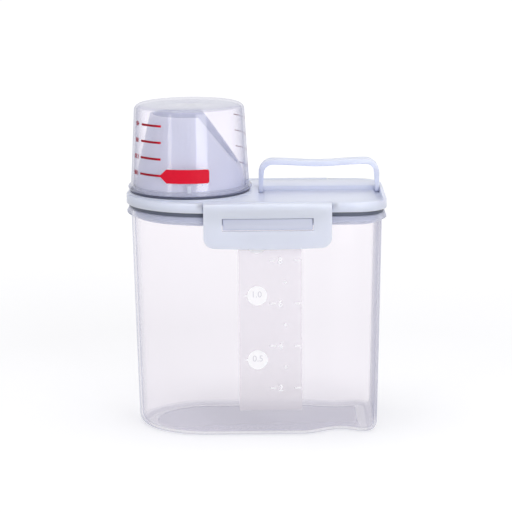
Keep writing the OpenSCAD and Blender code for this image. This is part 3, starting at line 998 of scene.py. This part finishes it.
@dataclass
class Scale:
    """Frosted strip with white marks on the front wall."""

    finishes: Finishes
    wall_y: float = -45.402
    lean: float = 0.021
    strip_x: float = -12.3
    strip_t: float = 0.2
    mark_t: float = 0.2
    row_z: float = 35.2
    row_step: float = 30.4
    figure_x: float = 28.9
    figure_size: float = 6.4
    figure_weight: float = 0.12
    disc_x: float = 12.9
    disc_size: float = 6.2
    disc_lift: float = 1.0
    disc_ink: float = 0.06
    discs: tuple[tuple[str, str, float], ...] = (("half", "0.5", 55.7), ("one", "1.0", 101.6))

    def place(self, bm: bmesh.types.BMesh, x: float, z: float, out: float) -> None:
        """Put a flat print on the front wall.

        Args:
            bm: The flat print in the XY plane, its thickness along Z.
            x: Place along X.
            z: Height along the wall.
            out: Distance in front of the wall.
        """
        turn = Matrix.Rotation(math.pi / 2 + math.atan(self.lean), 4, "X")
        place = Matrix.Translation((0.0, self.wall_y, 0.0)) @ turn @ Matrix.Translation((x, z, out))
        bmesh.ops.transform(bm, matrix=place, verts=bm.verts)

    def build(self) -> None:
        """Dress the strip and its marks and add the plain figures."""
        for node, material, slot in (("scale_strip", self.finishes.film, Slot.FILM),
                                     ("scale_marks", self.finishes.white, Slot.WHITE)):
            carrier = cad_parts[node]
            carrier.data.materials.clear()
            carrier.data.materials.append(material)
        for row, text in enumerate("2468"):
            bm = lettering(text, self.figure_size, self.mark_t, self.figure_weight)
            self.place(bm, self.strip_x + self.figure_x, self.row_z + row * self.row_step, self.strip_t)
            finish_piece(bm, f"strip_figure_{text}", Body.TUB, self.finishes.white)
        for name, text, z in self.discs:
            bm = lettering(text, self.disc_size, self.disc_ink)
            self.place(bm, self.strip_x + self.disc_x, z + self.disc_lift, self.strip_t + self.mark_t)
            finish_piece(bm, f"disc_figure_{name}", Body.TUB, self.finishes.figure)


@dataclass
class Studio:
    """Camera, floor, world and lamps."""

    pitch: float = 11.61
    roll: float = 0.53
    place: Point = (0.0, -1.5, 0.428)
    focal_px: float = 2154.0
    frame_px: float = 512.0
    sensor: float = 36.0
    glow: Pair = (0.37, 0.64)
    glow_reach: Pair = (0.3, 1.2)
    floor_shade: float = 0.75
    soft: float = 0.55
    room: Pair = (0.45, 1.0)
    room_depth: Pair = (-0.5, 0.25)
    lamp_far: float = 1.2
    lamp_aim: float = 0.1

    def camera(self) -> None:
        """Set the camera where the photograph was taken from."""
        data = bpy.data.cameras.new("camera")
        data.sensor_width = self.sensor
        data.lens = self.focal_px / self.frame_px * self.sensor
        data.clip_start, data.clip_end = 0.05, 30.0
        camera = bpy.data.objects.new("camera", data)
        bpy.context.scene.collection.objects.link(camera)
        pitch, roll = math.radians(self.pitch), math.radians(self.roll)
        up = Vector((0.0, math.sin(pitch), math.cos(pitch)))
        right = Vector((1.0, 0.0, 0.0))
        turned = math.cos(roll) * right - math.sin(roll) * up
        above = math.cos(roll) * up + math.sin(roll) * right
        back = turned.cross(above)
        camera.matrix_world = Matrix.Translation(self.place) @ Matrix((turned, above, back)).transposed().to_4x4()
        bpy.context.scene.camera = camera

    def floor(self) -> None:
        """Lay the pale floor, white to the eye but with the object's shadow.

        Its glow grows with the distance from the object, where the lamps give it less light.
        """
        bm = bmesh.new()
        bmesh.ops.create_grid(bm, x_segments=1, y_segments=1, size=6.0)
        mesh = bpy.data.meshes.new("floor")
        bm.to_mesh(mesh)
        bm.free()
        floor = bpy.data.objects.new("floor", mesh)
        bpy.context.scene.collection.objects.link(floor)
        material, graph = new_material("floor")
        straight, glossy = self._seen(graph)
        seen = straight.math("MAXIMUM", glossy)
        plain = graph.node("ShaderNodeBsdfDiffuse", {}, {"Color": (0.8, 0.8, 0.8)})
        away = graph.node("ShaderNodeVectorMath", {"operation": "LENGTH"}, {
            0: graph.node("ShaderNodeTexCoord", out="Object")}, out="Value")
        near, far = ((grey,) * 3 for grey in self.glow)
        glow = graph.node("ShaderNodeEmission", {}, {
            "Color": graph.mix(graph.ramp(away, self.glow_reach), near, far), "Strength": 1.0})
        shade = graph.node("ShaderNodeBsdfDiffuse", {}, {"Color": (self.floor_shade,) * 3})
        white = graph.node("ShaderNodeAddShader", {}, {0: glow, 1: shade})
        graph.end(graph.node("ShaderNodeMixShader", {}, {0: seen, 1: plain, 2: white}))
        mesh.materials.append(material)

    @staticmethod
    def _seen(graph: Graph) -> tuple[Sock, Sock]:
        """Rays that look at the background.

        Args:
            graph: Graph that asks.

        Returns:
            1 for those that look straight at it or through glass, and 1 for those that see it in a gloss.
        """
        path = graph.node("ShaderNodeLightPath", out="Is Camera Ray")
        outputs = path.socket.node.outputs
        return path.math("MAXIMUM", Sock(graph, outputs["Is Transmission Ray"])), Sock(graph, outputs["Is Glossy Ray"])

    def world(self) -> None:
        """Surround the object with even white light."""
        world = bpy.data.worlds.new("world")
        world.use_nodes = True
        bpy.context.scene.world = world
        graph = Graph(world.node_tree, "ShaderNodeOutputWorld")
        straight, glossy = self._seen(graph)
        behind = graph.ramp(graph.coordinate("Y", "Generated"), self.room_depth, self.room)
        soft = graph.node("ShaderNodeBackground", {}, {"Color": srgb(250, 250, 254), "Strength": self.soft})
        room = graph.node("ShaderNodeBackground", {}, {"Color": (1.0, 1.0, 1.0), "Strength": behind})
        white = graph.node("ShaderNodeBackground", {}, {"Color": (1.0, 1.0, 1.0), "Strength": 1.0})
        other = graph.node("ShaderNodeMixShader", {}, {0: glossy, 1: soft, 2: room})
        graph.end(graph.node("ShaderNodeMixShader", {}, {0: straight, 1: other, 2: white}))

    def lamp(self, name: str, azimuth: float, height: float, size: Pair, power: float) -> None:
        """A soft box that looks at the object.

        Args:
            name: Its name.
            azimuth: Degrees to the right of the camera, seen from the object.
            height: Degrees above the floor.
            size: Width and height in metres.
            power: Power in watts.
        """
        data = bpy.data.lights.new(name, "AREA")
        data.shape = "RECTANGLE"
        data.size, data.size_y = size
        data.energy = power
        lamp = bpy.data.objects.new(name, data)
        bpy.context.scene.collection.objects.link(lamp)
        a, e = math.radians(azimuth), math.radians(height)
        back = Vector((math.sin(a) * math.cos(e), -math.cos(a) * math.cos(e), math.sin(e)))
        lamp.location = Vector((0.0, 0.0, self.lamp_aim)) + back * self.lamp_far
        lamp.rotation_euler = back.to_track_quat("Z", "Y").to_euler()

    def build(self) -> None:
        """Set up the whole studio."""
        bpy.context.scene.view_settings.view_transform = "Standard"
        self.camera()
        self.floor()
        self.world()
        self.lamp("left_box", -40.0, 14.0, (0.16, 0.9), 1.2)
        self.lamp("right_box", 24.0, 16.0, (0.5, 0.9), 4.8)
        self.lamp("top_box", 0.0, 88.0, (1.0, 0.8), 4.6)


def main() -> None:
    """Build the dispenser and its studio."""
    logging.basicConfig(level=logging.INFO, format="%(message)s")
    finishes = Finishes()
    plan = Plan()
    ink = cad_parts["cup_scale_print"]
    ink.data.materials.clear()
    ink.data.materials.append(finishes.red)
    for part in (Tub(plan, finishes), Seals(plan, finishes), Lid(finishes), Cup(finishes), Latches(finishes),
                 Handle(finishes), Scale(finishes), Studio()):
        part.build()


if __name__ == "__main__":
    main()
